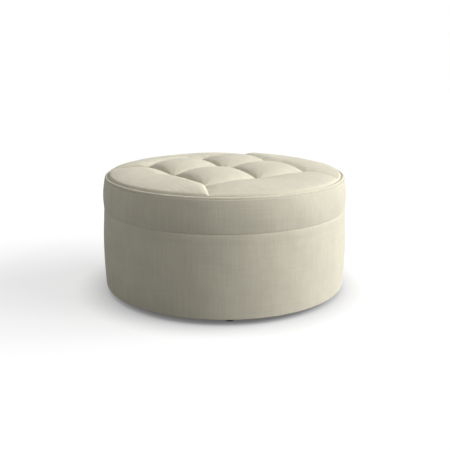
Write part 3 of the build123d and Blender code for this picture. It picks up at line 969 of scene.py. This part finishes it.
def welt_tree():
    """A tube of bias-cut cloth round the drum's rim."""
    nodes, given, result = new_group(
        "piped edge",
        "GeometryNodeTree",
        {
            "Line radius": 0.43,
            "Height": 0.4,
            "Tube radius": 0.005,
            "Sections": 288,
            "Sides": 20,
            "Wobble": 0.0004,
            "Cloth": "Material",
        },
        {"Geometry": "Geometry"},
    )
    line, sides = given["Line radius"], given["Sides"]
    grid, row, turned = ring_grid(nodes, given["Sections"], nodes.plus(sides, 1.0))
    rolled = nodes.times(nodes.over(row, sides), 2 * pi)
    cosine, sine = nodes.cosine(turned), nodes.sine(turned)
    around = nodes.round_axis(WOBBLE_ROUND, cosine, sine)
    rise = nodes.times(nodes.less(nodes.noise(around, 1.0), 0.5), 2.0)
    swell = nodes.less(nodes.noise(around, 3.0), 0.5)
    tube = nodes.plus(given["Tube radius"], nodes.times(swell, given["Wobble"]))
    middle = nodes.plus(given["Height"], nodes.times(rise, given["Wobble"]))
    reach = nodes.plus(line, nodes.times(tube, nodes.cosine(rolled)))
    height = nodes.plus(middle, nodes.times(tube, nodes.sine(rolled)))
    flat = nodes.place(nodes.times(turned, line), nodes.times(rolled, given["Tube radius"]))
    where = nodes.round_axis(reach, cosine, sine, height)
    return ring_shell(nodes, result, grid, flat, where, given["Cloth"])


def staple_tree():
    """A ring of staples, each a short wire with its ends turned up."""
    nodes, given, result = new_group(
        "staple ring",
        "GeometryNodeTree",
        {
            "Radius": 0.4,
            "Height": 0.02,
            "Count": 60,
            "Width": 0.01,
            "Wire": 0.0004,
            "Leg": 0.0008,
            "Steel": "Material",
        },
        {"Geometry": "Geometry"},
    )
    line = nodes.out("GeometryNodeCurvePrimitiveLine", {"End": (1, 0, 0)})
    four = nodes.out("GeometryNodeResampleCurve", {"Curve": line, "Count": 4})
    from_middle = nodes.less(nodes.out("GeometryNodeInputIndex"), 1.5)
    side = nodes.times(nodes.math("SIGN", from_middle), nodes.times(given["Width"], 0.5))
    outer = nodes.math("GREATER_THAN", nodes.math("ABSOLUTE", from_middle), 1.0)
    corners = nodes.place(side, 0.0, nodes.times(outer, given["Leg"]))
    bent = nodes.out("GeometryNodeSetPosition", {"Geometry": four, "Position": corners})
    circle = {"Resolution": 8, "Radius": given["Wire"]}
    section = nodes.out("GeometryNodeCurvePrimitiveCircle", circle)
    tube = {"Curve": bent, "Profile Curve": section, "Fill Caps": True}
    wire = nodes.out("GeometryNodeCurveToMesh", tube)
    circle = {"Vertices": given["Count"], "Radius": given["Radius"]}
    ring = nodes.out("GeometryNodeMeshCircle", circle)
    spot = nodes.parts(nodes.out("GeometryNodeInputPosition"))
    askew = nodes.out("FunctionNodeRandomValue", {2: -STAPLE_SKEW, 3: STAPLE_SKEW}, output=1)
    facing = nodes.plus(nodes.math("ARCTAN2", spot[1], spot[0]), pi / 2)
    spin = nodes.place(0.0, 0.0, nodes.plus(facing, askew))
    spread = {"Points": ring, "Instance": wire, "Rotation": spin}
    placed = nodes.out("GeometryNodeInstanceOnPoints", spread)
    raised = {"Geometry": placed, "Translation": nodes.place(0.0, 0.0, given["Height"])}
    staples = nodes.out("GeometryNodeTransform", raised)
    return dressed(nodes, result, staples, given["Steel"])


def wrapped_mesh(name, outer, inner, wrap, seed, material, ripple=None, groove=None):
    """A closed cloth shell round the drum from its face's line and its lining's."""
    values = {
        "Sections": wrap.sections,
        "Seam place": wrap.seam_turn,
        "Seam groove": wrap.seam_groove if groove is None else groove,
        "Seam width": wrap.seam_width,
        "Ripple": wrap.ripple if ripple is None else ripple,
        "Seed": seed,
        "Radius": band_radius,
        "Cloth": material,
    }
    profile = profile_mesh(name + " profile", outer, inner)
    tree = shared_group("wrapped cloth", wrap_tree)
    return turned_out(grown_mesh(name, tree, values, profile))


def piped_mesh(name, wrap, radius, sides, wobble, material):
    """A closed tube along the welt's line."""
    values = {
        "Line radius": welt_line_radius,
        "Height": welt_z,
        "Tube radius": radius,
        "Sections": 2 * wrap.sections,
        "Sides": sides,
        "Wobble": wobble,
        "Cloth": material,
    }
    return turned_out(grown_mesh(name, shared_group("piped edge", welt_tree), values))


def round_cover(scene, name, material_name, node, profile, seed):
    """Makes one of the covers stretched round the drum, and gives it with its flat size."""
    wrap = scene.ottoman_wrap
    outer, inner = profile(wrap, 0), profile(wrap, wrap.cloth_thickness)
    material = linen_material(material_name, scene.ottoman_cloth)
    mesh = wrapped_mesh(name, outer, inner, wrap, seed, material)
    piece = finish_piece(name, mesh, material, "oatmeal_linen", node)
    return piece, (float(run_lengths(outer)[-1]), 2 * pi * band_radius)


def cover_line(wrap, height):
    """The dust cover's line from the axis to its edge: it hangs a little in the middle."""
    hem = dust_radius - wrap.cover_hem
    line = []
    for reach in (*np.linspace(0, hem, 24), hem + HEM_STEP, dust_radius - HEM_ROUND, dust_radius):
        slack = max(0, 1 - (reach / (SAG_REACH * dust_radius)) ** 2) ** 2
        fold = HEM_DROP if reach > hem else 0
        line.append((reach, height - wrap.cover_sag * slack - fold))
    return line


def toward(bearing, rise):
    """The direction from the drum to what stands at this bearing and this high."""
    return Vector((sin(bearing) * cos(rise), -cos(bearing) * cos(rise), sin(rise)))


def facing_drum(bearing, rise):
    """The turn of a lamp or a camera that looks from there."""
    return (-toward(bearing, rise)).to_track_quat("-Z", "Y").to_euler()


def add_lamp(name, strength, width, bearing, rise):
    """Adds a soft sun lamp."""
    lamp = bpy.data.lights.new(name, "SUN")
    lamp.energy = strength
    lamp.angle = width
    added(name, lamp).rotation_euler = facing_drum(bearing, rise)


def seen_share(nodes):
    """1 where the camera sees a surface, straight on or in a gloss or through glass."""
    path = nodes.node("ShaderNodeLightPath").outputs
    mirrored = nodes.math("MAXIMUM", path["Is Glossy Ray"], path["Is Transmission Ray"])
    return nodes.math("MAXIMUM", path["Is Camera Ray"], mirrored)


def grey(value):
    """An opaque grey."""
    return (value, value, value, 1)


class OTTOMAN_OT_stage(bpy.types.Operator):
    """Sets the camera, the lamps, the sky and the pale floor"""

    bl_idname = "ottoman.stage"
    bl_label = "Studio"

    def execute(self, context):
        scene = context.scene
        studio = scene.ottoman_studio
        scene.view_settings.view_transform = "Standard"

        lens = bpy.data.cameras.new("camera")
        lens.sensor_width = 36
        lens.lens = studio.focal_length
        lens.shift_x = studio.frame_shift
        bearing, distance = studio.camera_turn, studio.camera_distance
        camera = scene.camera = added("camera", lens)
        camera.location = (sin(bearing) * distance, -cos(bearing) * distance, studio.camera_height)
        camera.rotation_euler = facing_drum(bearing, studio.camera_pitch)

        # a long soft box: lamps side by side
        width, lamps = studio.key_width, studio.key_lamps
        for place in range(lamps):
            side = studio.key_turn + (place - (lamps - 1) / 2) * studio.key_spread
            add_lamp("key", studio.key_strength / lamps, width, side, studio.key_height)
        add_lamp("fill", studio.fill_strength, width, studio.fill_turn, studio.fill_height)

        world = scene.world = bpy.data.worlds.new("studio")
        world.use_nodes = True
        sky = Nodes(world.node_tree)
        light = world.node_tree.nodes["Background"]
        light.inputs["Color"].default_value = WHITE
        light.inputs["Strength"].default_value = studio.sky_strength
        white = sky.out("ShaderNodeBackground", {"Color": WHITE, "Strength": 1.0})
        shown = {0: seen_share(sky), 1: light.outputs[0], 2: white}
        ends = world.node_tree.nodes["World Output"].inputs
        world.node_tree.links.new(sky.out("ShaderNodeMixShader", shown), ends["Surface"])

        paint = bpy.data.materials.new("studio floor")
        paint.use_nodes = True
        nodes = Nodes(paint.node_tree)
        paint.node_tree.nodes.clear()
        seen = nodes.out("ShaderNodeBsdfDiffuse", {"Color": grey(studio.floor_colour)})
        reach = {"Distance": studio.floor_reach}
        # painted light and shade: for the camera the floor glows, and occlusion dims that glow into
        # a painted shade under the drum
        open_share = nodes.out("ShaderNodeAmbientOcclusion", reach, output=1)
        shade = nodes.math("POWER", open_share, SHADE_POWER)
        lifted = nodes.math("MULTIPLY_ADD", shade, studio.floor_lift, studio.floor_least)
        lift = nodes.out("ShaderNodeEmission", {"Color": WHITE, "Strength": lifted})
        lit = nodes.out("ShaderNodeAddShader", {0: seen, 1: lift})
        bounced = nodes.out("ShaderNodeBsdfDiffuse", {"Color": grey(studio.floor_bounce)})
        both = nodes.out("ShaderNodeMixShader", {0: seen_share(nodes), 1: bounced, 2: lit})
        nodes.node("ShaderNodeOutputMaterial", {"Surface": both})

        mesh, half = bpy.data.meshes.new("floor"), FLOOR_HALF
        corners = [(-half, -half, 0), (half, -half, 0), (half, half, 0), (-half, half, 0)]
        mesh.from_pydata(corners, [], [(0, 1, 2, 3)])
        mesh.materials.append(paint)
        added("floor", mesh)
        return {"FINISHED"}


class OTTOMAN_OT_tufted_top(bpy.types.Operator):
    """Makes the tufted top: four pillows and four petals drawn down at nine tufts"""

    bl_idname = "ottoman.tufted_top"
    bl_label = "Tufted top"

    def execute(self, context):
        crown = context.scene.ottoman_crown
        mesh = crown_mesh(crown)
        material = linen_material("oatmeal linen top", context.scene.ottoman_cloth)
        nodes = ("top_cover", "top_fill")
        piece = finish_piece("tufted_top", mesh, material, "oatmeal_linen", *nodes)
        settle_cloth(piece, crown)
        piece.vertex_groups.clear()
        mesh.attributes.remove(mesh.attributes["held"])
        piece.data = subdivided(piece)
        close_crown(piece.data)
        return {"FINISHED"}


class OTTOMAN_OT_edge_welt(bpy.types.Operator):
    """Makes the welt: a tube of cloth over a cord, round the edge of the top"""

    bl_idname = "ottoman.edge_welt"
    bl_label = "Welt"

    def execute(self, context):
        wrap = context.scene.ottoman_wrap
        material = linen_material("oatmeal linen welt", context.scene.ottoman_cloth, pi / 4)
        radius, sides, wobble = welt_radius + wrap.welt_plump, wrap.welt_sides, wrap.welt_wobble
        tube = piped_mesh("welt", wrap, radius, sides, wobble, material)
        piece = finish_piece("welt", tube, material, "oatmeal_linen", "edge_welt")
        wall = piece.modifiers.new("cloth", "SOLIDIFY")
        wall.thickness = wrap.welt_wall
        wall.offset = -1

        strands = inner_material("piping_cord")
        cord = piped_mesh("piping", wrap, cord_radius, sides // 2, wobble / 2, strands)
        finish_piece("piping", cord, strands, "piping_cord", "welt_cord")
        return {"FINISHED"}


class OTTOMAN_OT_boxing_band(bpy.types.Operator):
    """Makes the boxing band round the padding, turned in under the deck"""

    bl_idname = "ottoman.boxing_band"
    bl_label = "Boxing band"

    def execute(self, context):
        names = ("band", "oatmeal linen band", "boxing_band")
        piece, flat = round_cover(context.scene, *names, band_profile, 3.0)
        return {"FINISHED"}


class OTTOMAN_OT_base_cover(bpy.types.Operator):
    """Makes the base cover, turned in under the base and over it"""

    bl_idname = "ottoman.base_cover"
    bl_label = "Base cover"

    def execute(self, context):
        names = ("base_cloth", "oatmeal linen base", "base_cover")
        piece, flat = round_cover(context.scene, *names, base_profile, 9.0)
        return {"FINISHED"}


class OTTOMAN_OT_inner_padding(bpy.types.Operator):
    """Makes the foam block and the wadding round it and round the base"""

    bl_idname = "ottoman.inner_padding"
    bl_label = "Inner padding"

    def execute(self, context):
        wrap = context.scene.ottoman_wrap
        gap = wrap.padding_gap
        fibre = inner_material("wadding")
        for name, node, profile, core in (
            ("band_padding", "band_wadding", band_profile, foam_radius),
            ("base_padding", "wall_wadding", base_profile, panel_radius),
        ):
            low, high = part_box(node)
            core += gap / 4
            line = profile(wrap, wrap.cloth_thickness + gap)
            outer = [spot for spot in line if spot[0] > core + gap and low.z <= spot[1] <= high.z]
            inner = [(core, outer[0][1]), (core, outer[-1][1])]
            mesh = wrapped_mesh(name, outer, inner, wrap, 5.0, fibre, ripple=0.0)
            finish_piece(name, mesh, fibre, "wadding", node)

        mesh = bpy.data.meshes.new("foam_block")
        with opened(frame["nodes"]["foam_core"].data, mesh) as shell:
            bmesh.ops.remove_doubles(shell, verts=shell.verts, dist=MERGE)
        block = finish_piece("foam_block", mesh, inner_material("foam"), "foam", "foam_core")
        edges = block.modifiers.new("soft edges", "BEVEL")
        edges.width = 0.0015
        edges.segments = 2
        edges.limit_method = "ANGLE"
        edges.angle_limit = radians(40)
        return {"FINISHED"}


class OTTOMAN_OT_dust_cover(bpy.types.Operator):
    """Makes the black cloth under the base, and the staples that hold it"""

    bl_idname = "ottoman.dust_cover"
    bl_label = "Dust cover"

    def execute(self, context):
        wrap = context.scene.ottoman_wrap
        below, above = cover_line(wrap, dust_z), cover_line(wrap, dust_z + dust_thickness)
        felt = inner_material("dust_cloth")
        mesh = wrapped_mesh("dust_cloth", below, above, wrap, 7.0, felt, ripple=0.0, groove=0.0)
        piece = finish_piece("dust_cloth", mesh, felt, "dust_cloth", "dust_cover")

        ring, steel = dust_radius - wrap.staple_inset, inner_material("fixing_steel")
        values = {
            "Radius": ring,
            "Height": dust_z - HEM_DROP - wrap.staple_wire,
            "Count": int(2 * pi * ring / wrap.staple_spacing),
            "Width": wrap.staple_width,
            "Wire": wrap.staple_wire,
            "Leg": 2 * wrap.staple_wire,
            "Steel": steel,
        }
        staples = grown_mesh("staples", shared_group("staple ring", staple_tree), values)
        finish_piece("staples", staples, steel, "fixing_steel")
        return {"FINISHED"}


class OTTOMAN_OT_inner_finishes(bpy.types.Operator):
    """Gives the frame, boards, fixings, cord and twine their own raw finishes"""

    bl_idname = "ottoman.inner_finishes"
    bl_label = "Inner finishes"

    def execute(self, context):
        for part in frame["record"]["subparts"]:
            slot = part["material_slot"]
            if slot in RAW_FINISHES or slot in TWIST_FINISHES:
                for place in frame["nodes"][part["node"]].material_slots:
                    place.link = "OBJECT"
                    place.material = inner_material(slot)
        return {"FINISHED"}


# The operators in the order in which main calls them
OPERATORS = (
    OTTOMAN_OT_stage,
    OTTOMAN_OT_tufted_top,
    OTTOMAN_OT_edge_welt,
    OTTOMAN_OT_boxing_band,
    OTTOMAN_OT_base_cover,
    OTTOMAN_OT_inner_padding,
    OTTOMAN_OT_dust_cover,
    OTTOMAN_OT_inner_finishes,
)
SETTINGS = {
    "ottoman_crown": OttomanCrown,
    "ottoman_wrap": OttomanWrap,
    "ottoman_cloth": OttomanCloth,
    "ottoman_studio": OttomanStudio,
}


class OTTOMAN_PT_pieces(bpy.types.Panel):
    """Lists the steps of the ottoman"""

    bl_idname = "OTTOMAN_PT_pieces"
    bl_label = "Ottoman"
    bl_space_type = "VIEW_3D"
    bl_region_type = "UI"
    bl_category = "Ottoman"

    def draw(self, context):
        for item in OPERATORS:
            self.layout.operator(item.bl_idname)


CLASSES = (*SETTINGS.values(), *OPERATORS, OTTOMAN_PT_pieces)


def register():
    for item in CLASSES:
        bpy.utils.register_class(item)
    for name, group in SETTINGS.items():
        setattr(bpy.types.Scene, name, bpy.props.PointerProperty(type=group))


def unregister():
    for name in SETTINGS:
        delattr(bpy.types.Scene, name)
    for item in reversed(CLASSES):
        bpy.utils.unregister_class(item)


def main():
    register()
    for item in OPERATORS:
        getattr(bpy.ops.ottoman, item.bl_idname.removeprefix("ottoman."))()


if __name__ == "__main__":
    main()
